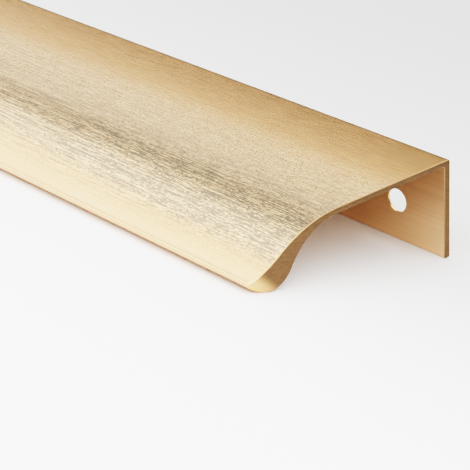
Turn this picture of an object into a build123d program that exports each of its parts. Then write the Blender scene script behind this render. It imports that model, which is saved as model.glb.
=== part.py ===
from build123d import *
from math import asin, atan2, cos, radians, sin, sqrt
import os

# Edge pull for a cabinet door: one length of extruded aluminium.
# A flat top sits on the door's edge, a flange screws to the door's back,
# and in front the top rolls over into a flared lip with a thick, round nose.
# Millimetres. X runs along the pull, -Y is the front and +Z is up.
# The pull lies as it rests on a floor: on the flange's lower edge and the nose.

# Overall sizes
length = 150.0          # sawn length along X
depth = 44.3            # back of the flange to the front of the nose
wall = 0.95             # flat top
flange_wall = 1.3       # screw flange
flange_drop = 17.9      # top of the pull to the flange's lower edge

# Lip
lip_reach = 18.8        # end of the flat top to the front of the nose
crown_radius = 22.5     # convex roll at the end of the flat top
crown_angle = 33.8      # steepest fall of the lip, in degrees
flare_radius = 20.5     # hollow that flares the lip forward again
tip_radius = 0.4        # front edge of the nose
nose_radius = 5.2       # round under the nose
nose_belly = 2.4        # lowest point of the nose below the centre of its front edge
finger_radius = 11.8    # hollow behind the lip, where the fingers go

# Edges
back_radius = 0.4       # outer corner between the top and the flange
seat_radius = 0.4       # inner corner between the top and the flange
flange_edge_radius = 0.45
lip_corner_radius = 3.0  # rounds at the front corners of the lip
lip_corner_lean = 45.0  # lean of those rounds from upright, in degrees
lip_corner_clearance = 0.7  # front of the rounds ahead of the nose
end_edge_radius = 0.2   # broken edge around both sawn ends

# Screw holes in the flange
hole_spacing = 128.0
hole_drop = 10.5        # top of the pull to the hole centres
hole_radius = 2.1
sink_radius = 3.1
sink_angle = 90.0


def along(start, target, distance):
    """The point at a distance from start, on the way to target."""
    return start + (target - start).normalized() * distance


# Centres of the lip's arcs, in the section as fitted on a door:
# x towards the back from the flange's back face, y up from the top face
fall = radians(crown_angle)
crown_centre = Vector(lip_reach - depth, -crown_radius)
flare_centre = crown_centre + Vector(-sin(fall), cos(fall)) * (crown_radius + flare_radius)
tip_x = tip_radius - depth
tip_fall = sqrt((flare_radius + tip_radius) ** 2 - (tip_x - flare_centre.X) ** 2)
tip_centre = Vector(tip_x, flare_centre.Y - tip_fall)
nose_rise = nose_radius - nose_belly
nose_run = sqrt((nose_radius - tip_radius) ** 2 - nose_rise**2)
nose_centre = tip_centre + Vector(nose_run, nose_rise)
finger_y = -wall - finger_radius
finger_run = sqrt((finger_radius + nose_radius) ** 2 - (nose_centre.Y - finger_y) ** 2)
finger_centre = Vector(nose_centre.X + finger_run, finger_y)

# Points where the arcs run into each other
crown_start = Vector(crown_centre.X, 0)
crown_end = along(crown_centre, flare_centre, crown_radius)
flare_end = along(flare_centre, tip_centre, flare_radius)
tip_end = along(nose_centre, tip_centre, nose_radius)
nose_end = along(nose_centre, finger_centre, nose_radius)
finger_end = Vector(finger_centre.X, -wall)

# Lean at rest: the line that touches the round of the flange's lower edge and the nose
edge_centre = Vector(flange_edge_radius - flange_wall, flange_edge_radius - flange_drop)
span = nose_centre - edge_centre
lean = atan2(span.Y, -span.X) - asin((nose_radius - flange_edge_radius) / span.length)
back_way = Vector(0, cos(lean), sin(lean))
up_way = Vector(0, -sin(lean), cos(lean))


def at_rest(point):
    """A point of the section, turned to the lean of the resting pull."""
    return back_way * point.X + up_way * point.Y


# The pull rests on the floor with its origin under the middle of its box
front = at_rest(tip_centre).Y - tip_radius
back = at_rest(Vector(-flange_edge_radius, edge_centre.Y)).Y + flange_edge_radius
floor = at_rest(nose_centre).Z - nose_radius
rest_origin = Vector(0, -(front + back) / 2, -floor)
rest_plane = Plane(origin=rest_origin, x_dir=back_way, z_dir=(1, 0, 0))

# The plane of the lip's corner rounds, which lean so that they take off most under the nose
corner_lean = radians(lip_corner_lean)
lip_way = at_rest(Vector(-cos(corner_lean), -sin(corner_lean)))
nose_reach = nose_radius + lip_corner_clearance
lip_front = rest_origin + at_rest(nose_centre) + lip_way * nose_reach
lip_plane = Plane(origin=lip_front, x_dir=(1, 0, 0), z_dir=Vector(1, 0, 0).cross(lip_way))

# The flange's back face, where the screws go in
flange_origin = rest_origin + at_rest(Vector(0, -hole_drop))
flange_plane = Plane(origin=flange_origin, x_dir=(1, 0, 0), z_dir=back_way)

with BuildPart() as edge_pull:
    with BuildSketch(rest_plane) as section:
        with BuildLine() as outline:
            RadiusArc(crown_start, crown_end, -crown_radius)
            RadiusArc(crown_end, flare_end, flare_radius)
            RadiusArc(flare_end, tip_end, -tip_radius)
            RadiusArc(tip_end, nose_end, -nose_radius)
            RadiusArc(nose_end, finger_end, finger_radius)
            FilletPolyline(
                finger_end,
                (-flange_wall, -wall),
                (-flange_wall, -flange_drop),
                (0, -flange_drop),
                (0, 0),
                crown_start,
                radius=[seat_radius, flange_edge_radius, flange_edge_radius, back_radius],
            )
        make_face()
    extrude(amount=length / 2, both=True)
    with BuildSketch(lip_plane) as lip_outline:
        Rectangle(length, 2 * depth, align=(Align.CENTER, Align.MAX))
        fillet(lip_outline.vertices().group_by(Axis.Y)[-1], lip_corner_radius)
    extrude(amount=2 * depth, both=True, mode=Mode.INTERSECT)
    with Locations(flange_plane):
        with GridLocations(hole_spacing, 0, 2, 1):
            CounterSinkHole(hole_radius, sink_radius, flange_wall, sink_angle)
    end_edges = edge_pull.faces().filter_by(Axis.X).edges()
    corner_seams = end_edges.filter_by(Axis(lip_front, lip_plane.z_dir))
    fillet(end_edges - corner_seams, end_edge_radius)

os.makedirs("parts", exist_ok=True)
edge_pull.part.label = "edge_pull"
export_step(edge_pull.part, "parts/edge_pull.step")
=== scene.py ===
from math import asin, atan2, cos, pi, radians, sin, sqrt

import bmesh
import bpy
from bpy.props import FloatProperty, FloatVectorProperty, PointerProperty
from bpy.types import Operator, Panel, PropertyGroup
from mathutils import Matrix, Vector


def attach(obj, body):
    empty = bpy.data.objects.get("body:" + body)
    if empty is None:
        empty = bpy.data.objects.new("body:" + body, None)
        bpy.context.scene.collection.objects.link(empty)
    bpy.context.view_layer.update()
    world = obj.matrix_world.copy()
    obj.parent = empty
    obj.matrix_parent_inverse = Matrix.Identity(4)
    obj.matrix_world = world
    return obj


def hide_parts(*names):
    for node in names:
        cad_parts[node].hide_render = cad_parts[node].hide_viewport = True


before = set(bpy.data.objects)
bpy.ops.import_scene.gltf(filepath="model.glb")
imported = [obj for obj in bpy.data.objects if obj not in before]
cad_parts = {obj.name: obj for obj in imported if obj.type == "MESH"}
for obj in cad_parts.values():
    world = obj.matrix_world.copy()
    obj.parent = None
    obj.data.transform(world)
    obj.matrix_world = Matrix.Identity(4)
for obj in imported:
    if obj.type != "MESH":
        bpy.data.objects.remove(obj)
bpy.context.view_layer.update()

bl_info = {
    "name": "Cabinet Edge Pull",
    "version": (1, 0, 0),
    "blender": (4, 5, 0),
    "location": "View3D > Sidebar > Edge Pull",
    "description": "Models a brushed gold edge pull and sets it on a studio floor",
    "category": "Object",
}

# Points of the mesh that are closer than this are one point
TOUCH = 2e-6
CUT_TOUCH = TOUCH / 20

# Steps round each arc of the section, the lip's corners, the broken edge and the screw holes
CROWN_STEPS = 30
FLARE_STEPS = 18
TIP_STEPS = 12
NOSE_STEPS = 56
FINGER_STEPS = 32
BEND_STEPS = 10
LIP_CORNER_STEPS = 12
END_EDGE_STEPS = 4
HOLE_SIDES = 72

# Ways in the section
FRONT = Vector((-1.0, 0.0))
BACK = Vector((1.0, 0.0))
UP = Vector((0.0, 1.0))
DOWN = Vector((0.0, -1.0))

# The two ends of the bar, as shares of a length along X
ENDS = (-0.5, 0.5)

# Material slots of the bar
BRUSHED, PLAIN, CUT = range(3)

# Least part of a face's normal along X on the sawn ends, along Y on the flange's outer face,
# and along Z on the faces that the brush reaches
END_FACING = 0.2
OUTER_FACING = 0.7
BRUSH_FACING = 0.3

# Shading of the bar's mesh
SMOOTH_ANGLE = radians(35.0)
FACE_WEIGHT = 80

# Noise: octaves of coarse and fine marks, how they add up, and the range most values lie in
COARSE_DETAIL = 1.0
FINE_DETAIL = 2.0
NOISE_ROUGHNESS = 0.55
NOISE_RANGE = (0.3, 0.7)

FLOOR_SIZE = 8.0
SENSOR_WIDTH = 36.0
CLIP_START = 0.01
WHITE = (1.0, 1.0, 1.0, 1.0)


def distance(name, description, default):
    return FloatProperty(
        name=name, description=description, default=default, min=0.0, unit="LENGTH", precision=5
    )


def offset(name, description, default):
    return FloatProperty(
        name=name, description=description, default=default, unit="LENGTH", precision=5
    )


def offsets(name, description, default):
    return FloatVectorProperty(
        name=name, description=description, default=default, size=2, unit="LENGTH", precision=5
    )


def turn(name, description, degrees):
    return FloatProperty(
        name=name, description=description, default=radians(degrees), subtype="ANGLE"
    )


def tint(name, description, default):
    return FloatVectorProperty(
        name=name, description=description, default=default, size=3, min=0.0, max=1.0, subtype="COLOR"
    )


def factor(name, description, default):
    return FloatProperty(
        name=name, description=description, default=default, min=0.0, max=1.0, subtype="FACTOR"
    )


def amount(name, description, default):
    return FloatProperty(name=name, description=description, default=default, min=0.0)


def pair(name, description, default):
    return FloatVectorProperty(name=name, description=description, default=default, size=2)


def density(name, description, default):
    return FloatVectorProperty(
        name=name, description=description, default=default, size=3, min=0.0, subtype="XYZ"
    )


def place(name, description, default):
    return FloatVectorProperty(
        name=name, description=description, default=default, size=3, subtype="XYZ", unit="LENGTH"
    )


def extent(name, description, default):
    return FloatVectorProperty(
        name=name, description=description, default=default, size=2, min=0.0, unit="LENGTH"
    )


class EdgePullSizes(PropertyGroup):
    """Sizes of the extruded section and of the sawn length."""

    length: distance("Length", "Sawn length along X", 0.150)
    depth: distance("Depth", "Back of the flange to the front of the nose", 0.0443)
    wall: distance("Top Wall", "Thickness of the flat top", 0.00095)
    flange_wall: distance("Flange Wall", "Thickness of the screw flange", 0.0013)
    flange_drop: distance("Flange Drop", "Top face to the flange's lower edge", 0.0179)
    lip_reach: distance("Lip Reach", "End of the flat top to the front of the nose", 0.0188)
    crown_radius: distance("Crown Radius", "Convex roll at the end of the flat top", 0.0225)
    crown_angle: turn("Crown Angle", "Steepest fall of the lip", 33.8)
    flare_radius: distance("Flare Radius", "Hollow that flares the lip forward", 0.0205)
    tip_radius: distance("Tip Radius", "Front edge of the nose", 0.0004)
    nose_radius: distance("Nose Radius", "Round under the nose", 0.0052)
    nose_belly: distance("Nose Belly", "Lowest point of the nose below its front edge", 0.0024)
    finger_radius: distance("Finger Radius", "Hollow behind the lip", 0.0118)
    back_radius: distance("Back Radius", "Outer corner of top and flange", 0.0004)
    seat_radius: distance("Seat Radius", "Inner corner of top and flange", 0.0004)
    flange_edge_radius: distance("Flange Edge Radius", "Lower edges of the flange", 0.00045)
    lip_corner_radius: distance("Lip Corner Radius", "Rounds at the lip's front corners", 0.003)
    lip_corner_lean: turn("Lip Corner Lean", "Lean of those rounds from upright", 45.0)
    lip_corner_clearance: distance("Lip Corner Clearance", "Rounds ahead of the nose", 0.0007)
    end_edge_radius: distance("End Edge Radius", "Broken edge round the sawn ends", 0.0002)
    hole_spacing: distance("Hole Spacing", "Between the screw holes", 0.128)
    hole_drop: distance("Hole Drop", "Top face to the hole centres", 0.0105)
    hole_radius: distance("Hole Radius", "Screw hole", 0.0021)
    sink_radius: distance("Sink Radius", "Countersink at the outer face", 0.0031)


class EdgePullFinish(PropertyGroup):
    """Colours and surface values of the anodised aluminium; some of the colours are painted highlights,
    glints and shade.
    """

    # Brushed faces: colours, with a painted highlight, painted glints and painted shade among them
    gold: tint("Gold", "Anodised colour of the brushed faces", (0.815, 0.415, 0.159))
    # Painted highlight: the paler gold of the brushed zone, the lip and its tip
    highlight_gold: tint("Bright Gold", "Anodised colour where the brushing is pale", (0.93, 0.66, 0.42))
    # Painted glints: the colour of the light brush marks
    mark_glint: tint("Mark Bright", "Colour of the lightest brush marks", (0.97, 0.665, 0.335))
    # Dark brush marks, which in the band over the crown are painted shade
    mark_and_shade_tint: tint("Mark Tint", "Colour of the dark brush marks", (0.205, 0.16, 0.104))
    # Painted shade: a dark line along the back corner
    edge_shade: tint("Edge Gold", "Colour of the back corner's line", (0.17, 0.125, 0.075))

    # Brushed faces: marks per metre, and their shares at the -X end and the +X end
    long_density: density("Long Density", "Long marks per metre", (16.0, 6200.0, 6200.0))
    middle_density: density("Middle Density", "Middling marks per metre", (220.0, 6600.0, 6600.0))
    short_density: density("Short Density", "Short marks per metre", (1300.0, 6600.0, 6600.0))
    long_share: pair("Long Share", "Share of the long marks at either end", (0.38, 0.18))
    middle_share: pair("Middle Share", "Share of the middling marks at either end", (0.34, 0.42))
    short_share: pair("Short Share", "Share of the short marks at either end", (0.28, 0.40))
    grain_back: offset("Grain Back", "Where the long marks begin to break up, along X", -0.02)
    grain_front: offset("Grain Front", "Where the marks are mostly short grain, along X", 0.055)
    brush_depth: distance("Brush Depth", "Height of the brush marks", 0.00006)
    calm_height: factor("Calm Height", "Share of that height outside the brushed zone", 0.07)

    # Brushed faces: where the zones lie along Y, the band of painted shade and the painted highlights
    # among them
    # From Band Back to Band Pale the brush marks deepen and the painted highlight and glints of the
    # brushed zone come in
    band_back: offset("Band Back", "Where the brush marks begin to deepen", 0.0100)
    band_pale: offset("Band Pale", "Where the brush marks are deep", -0.0008)
    # From Band Start to Band Full the dark marks thicken into the band of painted shade over the crown
    band_start: offset("Band Start", "Where the brush marks begin to darken", -0.0008)
    band_full: offset("Band Full", "Where the brush marks are darkest", -0.0152)
    # From Band End to Band Front the band's painted shade and the heavy brushing fade, and the lip's
    # painted highlight comes in
    band_end: offset("Band End", "Where the heavy brushing starts to fade", -0.0138)
    band_front: offset("Band Front", "Where the heavy brushing has faded", -0.0180)
    band_spread: distance("Band Spread", "How much further it goes at the +X end", 0.0018)
    trail_back: offset("Trail Back", "Where the marks over the lip begin to fade", -0.0155)
    trail_front: offset("Trail Front", "Where the marks over the lip have faded", -0.0235)
    # The painted highlight grows towards the lip's tip
    tip_back: offset("Tip Back", "Where the lip begins to turn paler towards its tip", -0.0192)
    tip_front: offset("Tip Front", "Where the lip is palest", -0.0222)
    # Where the line of painted shade along the back corner lies
    edge_rise: offsets("Edge Rise", "Where the back corner's line begins and is dark", (0.0175, 0.0191))
    edge_fall: offsets("Edge Fall", "Where that line has ended and begins to end", (0.0195, 0.0192))
    edge_curve: amount("Edge Curve", "How late that line darkens", 2.0)

    # Brushed faces: how strong each zone is, painted highlight, glints and shade included, and the
    # noise at which its marks begin and are full
    # How strong the painted highlight is on the brushed zone, the lip and its tip
    highlight_share: factor("Pale Share", "How pale the brushed zone is", 0.28)
    lip_share: factor("Lip Share", "How pale the lip is beside that zone", 0.2)
    tip_share: factor("Tip Share", "How pale the lip's tip is", 0.2)
    # Noise and strength of the painted glints in the light marks
    light_levels: pair("Light Levels", "Noise of the light marks", (0.50, 0.58))
    light_share: pair("Light Share", "How strong light marks are behind and in the band", (0.6, 0.5))
    light_rest: factor("Light Rest", "How strong light marks are elsewhere", 0.05)
    dark_levels: pair("Dark Levels", "Noise of the dark marks", (0.622, 0.412))
    # Strength of the painted shade in the band over the crown
    band_shade_share: pair("Band Share", "How dark the band is at the -X and +X end", (0.806, 1.3))
    scored_share: factor("Scored Share", "How dark the marks behind the band are", 0.30)
    trail_levels: pair("Trail Levels", "Noise of the marks over the lip", (0.60, 0.425))
    trail_share: factor("Trail Share", "How dark the marks over the lip are", 1.0)
    # Strength of the painted shade along the back corner
    edge_shade_share: factor("Edge Share", "How dark the back corner's line is", 0.75)
    brushed_roughness: pair("Brushed Roughness", "Least and most on the brushed faces", (0.19, 0.25))
    band_roughness: factor("Band Roughness", "How much rougher the band is", 0.07)

    # Plain inner faces
    plain_gold: tint("Plain Gold", "Colour of the unbrushed inner faces", (0.86, 0.55, 0.32))
    plain_shade: tint("Plain Shade", "Colour of their drawn lines", (0.774, 0.495, 0.288))
    line_density: density("Line Density", "Drawn lines per metre", (3.0, 1500.0, 1500.0))
    line_levels: pair("Line Levels", "Noise of the drawn lines", (0.35, 0.65))
    cloud_density: density("Cloud Density", "Duller spots per metre", (30.0, 60.0, 60.0))
    plain_roughness: pair("Plain Roughness", "Least and most on the inner faces", (0.28, 0.33))

    # Sawn ends: a deeper gold darkened further by painted shade, a broken edge in painted shade, and a
    # painted highlight on the lip's corner rounds
    # Deeper brown gold of the sawn ends, darkened further as painted shade
    cut_gold: tint("Cut Gold", "Colour of the sawn ends", (0.155, 0.083, 0.039))
    cut_shade: tint("Cut Shade", "Colour of the saw marks", (0.1116, 0.05976, 0.02808))
    # Painted shade on the broken edge round the ends
    rim_shade: tint("Rim Gold", "Colour of the broken edge round them", (0.42, 0.235, 0.105))
    rim_facing: pair("Rim Facing", "The normal along X where that edge begins and is full", (0.95, 0.6))
    # Painted highlight on the rounds at the lip's corners
    corner_highlight: tint("Corner Gold", "Colour of the rounds at the lip's corners", (0.99, 0.555, 0.23))
    corner_lead: distance("Corner Lead", "How far above the rounds that colour begins", 0.0010)
    corner_fade: distance("Corner Fade", "How softly that colour begins", 0.0032)
    saw_density: density("Saw Density", "Saw marks per metre", (500.0, 700.0, 4200.0))
    speck_density: density("Speck Density", "Specks per metre", (3000.0, 3000.0, 3000.0))
    saw_share: factor("Saw Share", "Share of saw marks, the rest being specks", 0.6)
    wear_levels: pair("Wear Levels", "Noise of the saw marks and specks", (0.62, 0.38))
    cut_roughness: pair("Cut Roughness", "Least and most on the sawn ends", (0.31, 0.41))
    fine_strength: factor("Fine Strength", "Relief of lines and saw marks beside the brushing's", 0.125)


class EdgePullStage(PropertyGroup):
    """Floor, lights and camera."""

    floor_tint: tint("Floor", "Pale studio floor", (0.86, 0.86, 0.855))
    floor_roughness: factor("Floor Roughness", "Matt paper", 0.9)
    front_strength: amount("Front", "Light of the surround low in front", 1.3)
    back_strength: amount("Back", "Light of the surround low behind", 0.6)
    ceiling_strength: amount("Ceiling", "Light of the surround from above", 0.165)
    front_turn: pair("Front Turn", "Where the surround changes from back to front", (0.4, -0.4))
    front_rise: amount("Front Rise", "How much higher the pale horizon is in front", 0.25)
    horizon_fade: pair("Horizon Fade", "Where the horizon begins to darken and is dark", (0.10, 0.36))
    top_power: amount("Top Light", "Watts of the long softbox over the lip", 3.05)
    top_place: place("Top Place", "Middle of that softbox", (-0.10, -0.1523, 0.0978))
    top_lean: turn("Top Lean", "Its turn about X", -17.2)
    top_size: extent("Top Size", "Its length and width", (0.9, 0.2864))
    fill_power: amount("Fill Light", "Watts of the dimmer softbox overhead", 2.4)
    fill_place: place("Fill Place", "Middle of that softbox", (-0.35, 0.20, 0.50))
    fill_size: extent("Fill Size", "Its length and width", (1.9, 0.40))
    back_power: amount("Back Light", "Watts of the narrow strip behind", 0.138)
    back_place: place("Back Place", "Middle of that strip", (-0.14, 0.0606, 0.0851))
    back_lean: turn("Back Lean", "Its turn about X", 1.7)
    back_size: extent("Back Size", "Its length and width", (0.75, 0.0234))
    room_power: amount("Room Light", "Watts of the wide ceiling light over the floor", 230.0)
    room_place: place("Room Place", "Middle of that light", (1.5, -1.5, 3.0))
    room_size: extent("Room Size", "Its length and width", (6.0, 6.0))
    camera_place: place("Camera Place", "Where the camera stands", (0.2691902, -0.2116362, 0.0966754))
    camera_turn: FloatVectorProperty(
        name="Camera Turn",
        description="How the camera is turned",
        default=(radians(72.059435), radians(-6.486985), radians(48.567312)),
        size=3,
        subtype="EULER",
    )
    lens: FloatProperty(
        name="Lens", description="Focal length", default=144.7218, min=1.0, unit="CAMERA"
    )


class Section:
    """The pull's section as fitted on a door, with zero at the top of the flange's back face.

    Its points are pairs: x is Y, towards the back, and y is Z, upward.
    """

    def __init__(self, s):
        # Centres of the lip's arcs
        fall = s.crown_angle
        self.crown = Vector((s.lip_reach - s.depth, -s.crown_radius))
        self.flare = self.crown + Vector((-sin(fall), cos(fall))) * (s.crown_radius + s.flare_radius)
        tip_y = s.tip_radius - s.depth
        tip_fall = sqrt((s.flare_radius + s.tip_radius) ** 2 - (tip_y - self.flare.x) ** 2)
        self.tip = Vector((tip_y, self.flare.y - tip_fall))
        nose_rise = s.nose_radius - s.nose_belly
        nose_run = sqrt((s.nose_radius - s.tip_radius) ** 2 - nose_rise**2)
        self.nose = self.tip + Vector((nose_run, nose_rise))
        finger_z = -s.wall - s.finger_radius
        finger_run = sqrt((s.finger_radius + s.nose_radius) ** 2 - (self.nose.y - finger_z) ** 2)
        self.finger = Vector((self.nose.x + finger_run, finger_z))

        # Points where the arcs run into each other
        self.crown_start = Vector((self.crown.x, 0.0))
        self.crown_end = self.crown + (self.flare - self.crown).normalized() * s.crown_radius
        self.flare_end = self.flare + (self.tip - self.flare).normalized() * s.flare_radius
        self.tip_end = self.nose + (self.tip - self.nose).normalized() * s.nose_radius
        self.nose_end = self.nose + (self.finger - self.nose).normalized() * s.nose_radius
        self.finger_end = Vector((self.finger.x, -s.wall))

        # Lean and place at rest, on the flange's lower edge and the nose
        edge = Vector((s.flange_edge_radius - s.flange_wall, s.flange_edge_radius - s.flange_drop))
        span = self.nose - edge
        self.lean = atan2(span.y, -span.x) - asin((s.nose_radius - s.flange_edge_radius) / span.length)
        front = self.at_rest(self.tip).x - s.tip_radius
        outer_edge = Vector((-s.flange_edge_radius, edge.y))
        back = self.at_rest(outer_edge).x + s.flange_edge_radius
        floor = self.at_rest(self.nose).y - s.nose_radius
        self.rest_move = (0.0, -(front + back) / 2, -floor)

        # The lip's corner rounds
        self.lip_way = Vector((-cos(s.lip_corner_lean), -sin(s.lip_corner_lean)))
        self.corner_way = self.at_rest(self.lip_way)
        reach = s.nose_radius + s.lip_corner_clearance - s.lip_corner_radius
        self.corner = self.nose + self.lip_way * reach
        corner_spot = self.at_rest(self.corner) + Vector(self.rest_move[1:])
        self.corner_start = corner_spot.dot(self.corner_way)

    def at_rest(self, point):
        """A point of the section, turned to the lean of the resting pull."""
        c, k = cos(self.lean), sin(self.lean)
        return Vector((point.x * c - point.y * k, point.x * k + point.y * c))


def make_active(piece):
    """Leaves only this piece selected and active, in object mode."""
    bpy.ops.object.select_all(action="DESELECT")
    piece.select_set(True)
    bpy.context.view_layer.objects.active = piece


def select(piece, kind, test):
    """Selects only those edges or faces of a piece in edit mode that pass the test."""
    bpy.ops.mesh.select_mode(type=kind)
    bpy.ops.mesh.select_all(action="DESELECT")
    mesh = bmesh.from_edit_mesh(piece.data)
    mesh.normal_update()
    for item in {"EDGE": mesh.edges, "FACE": mesh.faces}[kind]:
        if test(item):
            item.select_set(True)
    mesh.select_flush_mode()
    bmesh.update_edit_mesh(piece.data)


def select_open(piece, test):
    """Selects the open edges of a piece whose two points pass the test."""
    select(piece, "EDGE", lambda e: e.is_boundary and all(test(v.co) for v in e.verts))


def select_run(piece, point):
    """Selects the lengthwise edge that lies at a point of the section."""
    select_open(piece, lambda spot: (spot.yz - point).length < TOUCH)


def sweep(piece, start, centre, end, steps):
    """Spins the lengthwise edge at start round a centre of the section to end."""
    select_run(piece, start)
    a, b = start - centre, end - centre
    angle = atan2(a.x * b.y - a.y * b.x, a.dot(b))
    bpy.ops.mesh.spin(
        steps=steps, angle=-angle, center=(0.0, centre.x, centre.y), axis=(1.0, 0.0, 0.0)
    )


def run(piece, start, end):
    """Extrudes the lengthwise edge at start straight to end."""
    select_run(piece, start)
    move = end - start
    bpy.ops.mesh.extrude_region_move(TRANSFORM_OT_translate={"value": (0.0, move.x, move.y)})


def bend(piece, start, centre, radius, before, after):
    """Runs straight on from start, then round a corner, and gives the point that it reaches."""
    first, last = centre + before * radius, centre + after * radius
    run(piece, start, first)
    sweep(piece, first, centre, last, BEND_STEPS)
    return last


def draw_strip(piece, s, shape):
    """Takes the flat top's front edge round the whole section, back to the flat top."""
    sweep(piece, shape.crown_start, shape.crown, shape.crown_end, CROWN_STEPS)
    sweep(piece, shape.crown_end, shape.flare, shape.flare_end, FLARE_STEPS)
    sweep(piece, shape.flare_end, shape.tip, shape.tip_end, TIP_STEPS)
    sweep(piece, shape.tip_end, shape.nose, shape.nose_end, NOSE_STEPS)
    sweep(piece, shape.nose_end, shape.finger, shape.finger_end, FINGER_STEPS)
    r = s.flange_edge_radius
    seat = Vector((-s.flange_wall - s.seat_radius, -s.wall - s.seat_radius))
    inner_foot = Vector((r - s.flange_wall, r - s.flange_drop))
    outer_foot = Vector((-r, r - s.flange_drop))
    back = Vector((-s.back_radius, -s.back_radius))
    spot = bend(piece, shape.finger_end, seat, s.seat_radius, UP, BACK)
    spot = bend(piece, spot, inner_foot, r, FRONT, DOWN)
    spot = bend(piece, spot, outer_foot, r, DOWN, BACK)
    bend(piece, spot, back, s.back_radius, BACK, UP)
    bpy.ops.mesh.select_all(action="SELECT")
    bpy.ops.mesh.remove_doubles(threshold=TOUCH)


def close_ends(piece, s):
    """Fills both sawn ends and points all faces outward."""
    for side in ENDS:
        x = side * s.length
        select_open(piece, lambda spot: abs(spot.x - x) < TOUCH)
        bpy.ops.mesh.edge_face_add()
    bpy.ops.mesh.select_all(action="SELECT")
    bpy.ops.mesh.normals_make_consistent(inside=False)


def round_lip_corners(s, shape):
    """Cuts the lip's two front corners to a round with planes that touch it."""
    for side in (-1.0, 1.0):
        x = side * (s.length / 2 - s.lip_corner_radius)
        middle = Vector((x, shape.corner.x, shape.corner.y))
        for step in range(1, LIP_CORNER_STEPS):
            angle = step * pi / 2 / LIP_CORNER_STEPS
            forward = shape.lip_way * sin(angle)
            outward = Vector((side * cos(angle), forward.x, forward.y))
            bpy.ops.mesh.select_all(action="SELECT")
            bpy.ops.mesh.bisect(
                plane_co=middle + outward * s.lip_corner_radius,
                plane_no=outward,
                use_fill=True,
                clear_outer=True,
                threshold=CUT_TOUCH,
            )


def break_end_edges(piece, s):
    """Bevels the edge round both sawn ends, the rounded lip corners included."""
    select(piece, "FACE", lambda f: abs(f.normal.x) > END_FACING)
    bpy.ops.object.material_slot_assign()
    bpy.ops.mesh.region_to_loop()
    bpy.ops.mesh.bevel(
        offset=s.end_edge_radius,
        segments=END_EDGE_STEPS,
        profile=0.5,
        affect="EDGES",
        clamp_overlap=False,
        material=CUT,
    )


def cut_out(piece, cutter):
    """Takes a cutter's shape out of a piece and deletes the cutter."""
    make_active(piece)
    bpy.ops.object.modifier_add(type="BOOLEAN")
    modifier = piece.modifiers[-1]
    modifier.operation = "DIFFERENCE"
    modifier.solver = "EXACT"
    modifier.object = cutter
    bpy.ops.object.modifier_apply(modifier=modifier.name)
    bpy.data.meshes.remove(cutter.data)


def sink_holes(piece, s):
    """Cuts the two countersunk screw holes out of the flange."""
    across = (pi / 2, 0.0, 0.0)
    taper = s.sink_radius - s.hole_radius
    over = s.flange_wall
    for side in ENDS:
        x = side * s.hole_spacing
        bpy.ops.mesh.primitive_cylinder_add(
            vertices=HOLE_SIDES,
            radius=s.hole_radius,
            depth=4 * s.flange_wall,
            location=(x, -s.flange_wall / 2, -s.hole_drop),
            rotation=across,
        )
        cut_out(piece, bpy.context.object)
        bpy.ops.mesh.primitive_cone_add(
            vertices=HOLE_SIDES,
            radius1=s.sink_radius + over,
            radius2=s.hole_radius,
            depth=taper + over,
            location=(x, (over - taper) / 2, -s.hole_drop),
            rotation=across,
        )
        cut_out(piece, bpy.context.object)


class Nodes:
    """Adds linked nodes to a material, world or group tree."""

    def __init__(self, tree):
        self.tree = tree
        tree.nodes.clear()

    def add(self, kind, settings=None, **inputs):
        node = self.tree.nodes.new(kind)
        for key, value in (settings or {}).items():
            setattr(node, key, value)
        for key, value in inputs.items():
            self.put(node.inputs[key.replace("_", " ")], value)
        return node

    def put(self, socket, value):
        if isinstance(value, bpy.types.NodeSocket):
            self.tree.links.new(value, socket)
        else:
            socket.default_value = value

    def math(self, operation, a, b=0.0):
        node = self.add("ShaderNodeMath", {"operation": operation})
        self.put(node.inputs[0], a)
        self.put(node.inputs[1], b)
        return node.outputs[0]

    def plus(self, a, b):
        return self.math("ADD", a, b)

    def times(self, a, b):
        return self.math("MULTIPLY", a, b)

    def larger(self, a, b):
        return self.math("MAXIMUM", a, b)

    def spread(self, value, low, high, to_low, to_high):
        """Maps a value's range to another one."""
        node = self.add(
            "ShaderNodeMapRange", From_Min=low, From_Max=high, To_Min=to_low, To_Max=to_high
        )
        self.put(node.inputs["Value"], value)
        return node.outputs["Result"]

    def between(self, share, first, last):
        """Goes from the first value to the last as a share goes from 0 to 1."""
        return self.spread(share, 0.0, 1.0, first, last)

    def ease(self, value, low, high):
        """Rises smoothly from 0 to 1 as a value goes from low to high."""
        smooth = {"interpolation_type": "SMOOTHSTEP"}
        node = self.add("ShaderNodeMapRange", smooth, From_Min=low, From_Max=high)
        self.put(node.inputs["Value"], value)
        return node.outputs["Result"]

    def blend(self, share, a, b):
        """Mixes two colours."""
        node = self.add("ShaderNodeMix", {"data_type": "RGBA"})
        self.put(node.inputs[0], share)
        self.put(node.inputs[6], a)
        self.put(node.inputs[7], b)
        return node.outputs[2]

    def marks(self, group, position, density, detail):
        """Places the group of drawn-out noise, with its own density along each axis."""
        node = self.add(
            "ShaderNodeGroup", {"node_tree": group}, Position=position, Density=density, Detail=detail
        )
        return node.outputs["Marks"]

    def metal(self, colour, roughness, height, depth, strength):
        """Ends a material as bare metal with this colour, roughness and relief."""
        bump = self.add("ShaderNodeBump", Strength=strength, Distance=depth, Height=height)
        shader = self.add(
            "ShaderNodeBsdfPrincipled",
            Base_Color=colour,
            Metallic=1.0,
            Roughness=roughness,
            Normal=bump.outputs["Normal"],
        )
        self.add("ShaderNodeOutputMaterial", Surface=shader.outputs["BSDF"])


def rgba(colour):
    return (*colour, 1.0)


def new_material(name):
    """A material without nodes, and the tool that adds them."""
    material = bpy.data.materials.new(name)
    material.use_nodes = True
    return material, Nodes(material.node_tree)


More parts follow.
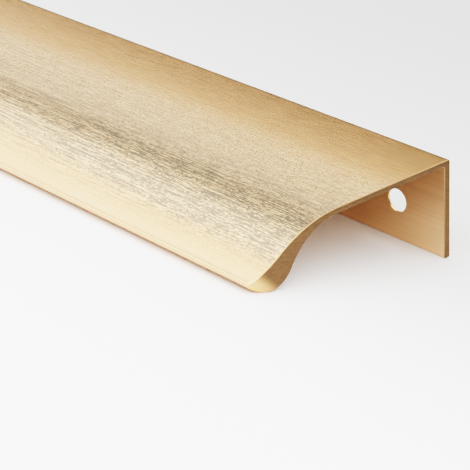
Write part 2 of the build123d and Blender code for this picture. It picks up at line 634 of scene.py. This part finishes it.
def drawn_marks():
    """The node group that all three finishes share: noise with so many marks per metre."""
    group = bpy.data.node_groups.new("drawn_marks", "ShaderNodeTree")
    group.interface.new_socket(name="Position", in_out="INPUT", socket_type="NodeSocketVector")
    group.interface.new_socket(name="Density", in_out="INPUT", socket_type="NodeSocketVector")
    group.interface.new_socket(name="Detail", in_out="INPUT", socket_type="NodeSocketFloat")
    group.interface.new_socket(name="Marks", in_out="OUTPUT", socket_type="NodeSocketFloat")
    n = Nodes(group)
    given = n.add("NodeGroupInput").outputs
    mapped = n.add("ShaderNodeMapping", Vector=given["Position"], Scale=given["Density"])
    noise = n.add(
        "ShaderNodeTexNoise",
        Vector=mapped.outputs["Vector"],
        Scale=1.0,
        Detail=given["Detail"],
        Roughness=NOISE_ROUGHNESS,
    )
    n.add("NodeGroupOutput", Marks=noise.outputs["Fac"])
    return group


def brushed_material(finish, group):
    """Gold anodised aluminium, brushed along X and marked most heavily over the crown, where its dark
    marks are painted shade; paler gold on the brushed zone and the lip's tip is a painted highlight,
    its light marks are painted glints, and a line of painted shade runs along the back corner.
    """
    material, n = new_material("brushed_gold")
    where = n.add("ShaderNodeTexCoord").outputs["Object"]
    split = n.add("ShaderNodeSeparateXYZ", Vector=where)
    across = split.outputs["Y"]

    # Long marks, which break up into short grain towards the +X end
    long = n.marks(group, where, finish.long_density, COARSE_DETAIL)
    middle = n.marks(group, where, finish.middle_density, COARSE_DETAIL)
    short = n.marks(group, where, finish.short_density, COARSE_DETAIL)
    broken = n.ease(split.outputs["X"], finish.grain_back, finish.grain_front)
    marks = n.times(long, n.between(broken, *finish.long_share))
    marks = n.plus(marks, n.times(middle, n.between(broken, *finish.middle_share)))
    marks = n.plus(marks, n.times(short, n.between(broken, *finish.short_share)))

    # Zones: the brushed zone, its band of painted shade over the crown, then the lip, its marks and its
    # tip, where a painted highlight lies
    reach = n.plus(across, n.times(broken, finish.band_spread))
    fade = n.ease(reach, finish.band_front, finish.band_end)
    scored_and_highlight = n.times(n.ease(across, finish.band_back, finish.band_pale), fade)
    band = n.times(n.ease(across, finish.band_start, finish.band_full), fade)
    lip = n.ease(reach, finish.band_end, finish.band_front)
    trail = n.times(lip, n.ease(across, finish.trail_front, finish.trail_back))
    tip = n.ease(across, finish.tip_back, finish.tip_front)

    # Colour: paler gold as a painted highlight, light marks as painted glints, dark marks that are
    # painted shade in the band, and a line of painted shade along the back corner
    # Paler gold as a painted highlight on the brushed zone, the lip and its tip
    pale = n.times(n.larger(scored_and_highlight, n.times(lip, finish.lip_share)), finish.highlight_share)
    pale = n.larger(pale, n.times(tip, finish.tip_share))
    colour = n.blend(pale, rgba(finish.gold), rgba(finish.highlight_gold))
    # Light marks in a paler colour as painted glints
    light = n.plus(n.times(scored_and_highlight, n.between(band, *finish.light_share)), finish.light_rest)
    light = n.times(n.ease(marks, *finish.light_levels), light)
    colour = n.blend(light, colour, rgba(finish.mark_glint))
    # Dark marks: painted shade in the band over the crown, real brush marks behind it
    heavy = n.times(band, n.between(broken, *finish.band_shade_share))
    heavy = n.plus(n.times(scored_and_highlight, finish.scored_share), heavy)
    dark = n.times(n.ease(marks, *finish.dark_levels), heavy)
    sparse = n.times(n.ease(marks, *finish.trail_levels), n.times(trail, finish.trail_share))
    colour = n.blend(n.plus(dark, sparse), colour, rgba(finish.mark_and_shade_tint))
    # A line of painted shade along the back corner
    edge = n.math("POWER", n.ease(across, *finish.edge_rise), finish.edge_curve)
    edge = n.times(edge, n.ease(across, *finish.edge_fall))
    colour = n.blend(n.times(edge, finish.edge_shade_share), colour, rgba(finish.edge_shade))

    roughness = n.spread(middle, *NOISE_RANGE, *finish.brushed_roughness)
    roughness = n.plus(roughness, n.times(band, finish.band_roughness))
    height = n.times(marks, n.between(scored_and_highlight, finish.calm_height, 1.0))
    n.metal(colour, roughness, height, finish.brush_depth, 1.0)
    return material


def plain_material(finish, group):
    """The same anodising on faces left as they came out of the die, with faint drawn lines."""
    material, n = new_material("plain_gold")
    where = n.add("ShaderNodeTexCoord").outputs["Object"]
    lines = n.marks(group, where, finish.line_density, FINE_DETAIL)
    cloud = n.marks(group, where, finish.cloud_density, COARSE_DETAIL)
    drawn = n.ease(lines, *finish.line_levels)
    colour = n.blend(drawn, rgba(finish.plain_gold), rgba(finish.plain_shade))
    roughness = n.spread(cloud, *NOISE_RANGE, *finish.plain_roughness)
    n.metal(colour, roughness, lines, finish.brush_depth, finish.fine_strength)
    return material


def cut_material(finish, group, shape):
    """Sawn and smoothed ends, anodised to a deeper brown gold and darkened further by painted shade,
    with a painted highlight on the lip's corner rounds.
    """
    material, n = new_material("cut_gold")
    where = n.add("ShaderNodeTexCoord").outputs["Object"]
    saw = n.marks(group, where, finish.saw_density, FINE_DETAIL)
    specks = n.marks(group, where, finish.speck_density, FINE_DETAIL)
    wear = n.plus(n.times(saw, finish.saw_share), n.times(specks, 1.0 - finish.saw_share))
    worn = n.ease(wear, *finish.wear_levels)
    # Sawn ends in a deeper gold darkened further as painted shade, with darker saw marks
    colour = n.blend(worn, rgba(finish.cut_gold), rgba(finish.cut_shade))

    # The broken edge, where the faces turn away from X, in painted shade: a gold darker than the
    # brushed faces
    normal = n.add("ShaderNodeNewGeometry").outputs["True Normal"]
    facing = n.add("ShaderNodeSeparateXYZ", Vector=normal).outputs["X"]
    rim = n.ease(n.math("ABSOLUTE", facing), *finish.rim_facing)
    colour = n.blend(rim, colour, rgba(finish.rim_shade))

    # The lip's corner rounds, along the way that they lean, with a painted highlight
    along = n.add("ShaderNodeVectorMath", {"operation": "DOT_PRODUCT"})
    n.put(along.inputs[0], where)
    n.put(along.inputs[1], (0.0, *shape.corner_way))
    start = shape.corner_start - finish.corner_lead
    corner = n.ease(along.outputs["Value"], start, start + finish.corner_fade)
    colour = n.blend(corner, colour, rgba(finish.corner_highlight))

    roughness = n.spread(specks, *NOISE_RANGE, *finish.cut_roughness)
    n.metal(colour, roughness, wear, finish.brush_depth, finish.fine_strength)
    return material


class EDGEPULL_OT_bar(Operator):
    """Model the extruded bar with its sawn ends and screw holes"""

    bl_idname = "edge_pull.bar"
    bl_label = "Bar"

    def execute(self, context):
        s = context.scene.edge_pull_sizes
        finish = context.scene.edge_pull_finish
        shape = Section(s)
        bpy.ops.object.select_all(action="DESELECT")
        bpy.ops.mesh.primitive_plane_add(size=1.0)
        bar = context.object
        bar.name = bar.data.name = "edge_pull_bar"
        group = drawn_marks()
        bar.data.materials.append(brushed_material(finish, group))
        bar.data.materials.append(plain_material(finish, group))
        bar.data.materials.append(cut_material(finish, group, shape))
        bpy.ops.object.mode_set(mode="EDIT")
        flat = -s.back_radius - shape.crown_start.x
        bpy.ops.transform.resize(value=(s.length, flat, 1.0), center_override=(0.0, 0.0, 0.0))
        bpy.ops.transform.translate(value=(0.0, shape.crown_start.x + flat / 2, 0.0))
        draw_strip(bar, s, shape)
        close_ends(bar, s)
        round_lip_corners(s, shape)
        bar.active_material_index = CUT
        break_end_edges(bar, s)
        bar.active_material_index = PLAIN
        select(bar, "FACE", lambda f: f.material_index == BRUSHED and self.unbrushed(f, shape))
        bpy.ops.object.material_slot_assign()
        bpy.ops.object.mode_set(mode="OBJECT")
        sink_holes(bar, s)
        make_active(bar)
        bpy.ops.object.mode_set(mode="EDIT")
        bpy.ops.mesh.select_all(action="SELECT")
        bpy.ops.transform.rotate(value=-shape.lean, orient_axis="X", center_override=(0.0, 0.0, 0.0))
        bpy.ops.transform.translate(value=shape.rest_move)
        bpy.ops.object.mode_set(mode="OBJECT")
        bpy.ops.object.shade_smooth_by_angle(angle=SMOOTH_ANGLE)
        bpy.ops.object.modifier_add(type="WEIGHTED_NORMAL")
        modifier = bar.modifiers[-1]
        modifier.keep_sharp = True
        modifier.weight = FACE_WEIGHT
        bpy.ops.object.modifier_apply(modifier=modifier.name)
        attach(bar, "root")
        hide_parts("edge_pull")
        return {"FINISHED"}

    @staticmethod
    def unbrushed(face, shape):
        """Faces of the hollow, the seat and the flange's inside, which the brush doesn't reach."""
        middle = face.calc_center_median()
        outer = face.normal.y > OUTER_FACING and middle.y > shape.finger.x
        return face.normal.z < BRUSH_FACING and middle.y > shape.nose.x and not outer


class EDGEPULL_OT_stage(Operator):
    """Lay the floor, hang the lights and set the camera"""

    bl_idname = "edge_pull.stage"
    bl_label = "Studio"

    def execute(self, context):
        stage = context.scene.edge_pull_stage
        bpy.ops.object.select_all(action="DESELECT")
        bpy.ops.mesh.primitive_plane_add(size=FLOOR_SIZE)
        floor = context.object
        floor.name = floor.data.name = "studio_floor"
        floor.data.materials.append(self.floor_material(stage))
        self.softbox("top_light", stage.top_place, stage.top_lean, stage.top_size, stage.top_power)
        self.softbox("fill_light", stage.fill_place, 0.0, stage.fill_size, stage.fill_power)
        self.softbox("back_light", stage.back_place, stage.back_lean, stage.back_size, stage.back_power)
        self.softbox("room_light", stage.room_place, 0.0, stage.room_size, stage.room_power)
        context.scene.world = self.surround(stage)
        bpy.ops.object.camera_add(location=stage.camera_place, rotation=stage.camera_turn)
        camera = context.object
        camera.data.lens = stage.lens
        camera.data.sensor_width = SENSOR_WIDTH
        camera.data.clip_start = CLIP_START
        context.scene.camera = camera
        context.scene.view_settings.view_transform = "Filmic"
        context.scene.view_settings.look = "High Contrast"
        return {"FINISHED"}

    @staticmethod
    def surround(stage):
        """A pale horizon that darkens upward, so that the metal has something to reflect."""
        world = bpy.data.worlds.new("studio")
        world.use_nodes = True
        n = Nodes(world.node_tree)
        way = n.add("ShaderNodeTexCoord").outputs["Generated"]
        split = n.add("ShaderNodeSeparateXYZ", Vector=way)
        ahead = n.ease(split.outputs["Y"], *stage.front_turn)
        horizon = n.between(ahead, stage.back_strength, stage.front_strength)
        rise = n.math("SUBTRACT", split.outputs["Z"], n.times(ahead, stage.front_rise))
        high = n.ease(rise, *stage.horizon_fade)
        strength = n.between(high, horizon, stage.ceiling_strength)
        sky = n.add("ShaderNodeBackground", Color=WHITE, Strength=strength)
        n.add("ShaderNodeOutputWorld", Surface=sky.outputs["Background"])
        return world

    @staticmethod
    def softbox(name, spot, lean, size, power):
        """A rectangular light that shines down its own -Z and leans about X."""
        bpy.ops.object.light_add(type="AREA", location=spot, rotation=(lean, 0.0, 0.0))
        lamp = bpy.context.object
        lamp.name = lamp.data.name = name
        lamp.data.shape = "RECTANGLE"
        lamp.data.size, lamp.data.size_y = size
        lamp.data.energy = power
        lamp.visible_camera = False

    @staticmethod
    def floor_material(stage):
        """Matt studio paper."""
        material, n = new_material("studio_floor")
        shader = n.add(
            "ShaderNodeBsdfPrincipled",
            Base_Color=rgba(stage.floor_tint),
            Roughness=stage.floor_roughness,
        )
        n.add("ShaderNodeOutputMaterial", Surface=shader.outputs["BSDF"])
        return material


class EDGEPULL_PT_panel(Panel):
    """Builds the edge pull and its studio"""

    bl_idname = "EDGEPULL_PT_panel"
    bl_label = "Edge Pull"
    bl_space_type = "VIEW_3D"
    bl_region_type = "UI"
    bl_category = "Edge Pull"

    def draw(self, context):
        for operator in OPERATORS:
            self.layout.operator(operator.bl_idname)


GROUPS = {
    "edge_pull_sizes": EdgePullSizes,
    "edge_pull_finish": EdgePullFinish,
    "edge_pull_stage": EdgePullStage,
}
OPERATORS = (EDGEPULL_OT_bar, EDGEPULL_OT_stage)
CLASSES = (*GROUPS.values(), *OPERATORS, EDGEPULL_PT_panel)


def register():
    for cls in CLASSES:
        bpy.utils.register_class(cls)
    for name, group in GROUPS.items():
        setattr(bpy.types.Scene, name, PointerProperty(type=group))


def unregister():
    for name in GROUPS:
        delattr(bpy.types.Scene, name)
    for cls in reversed(CLASSES):
        bpy.utils.unregister_class(cls)


def main():
    register()
    bpy.ops.edge_pull.bar()
    bpy.ops.edge_pull.stage()


if __name__ == "__main__":
    main()
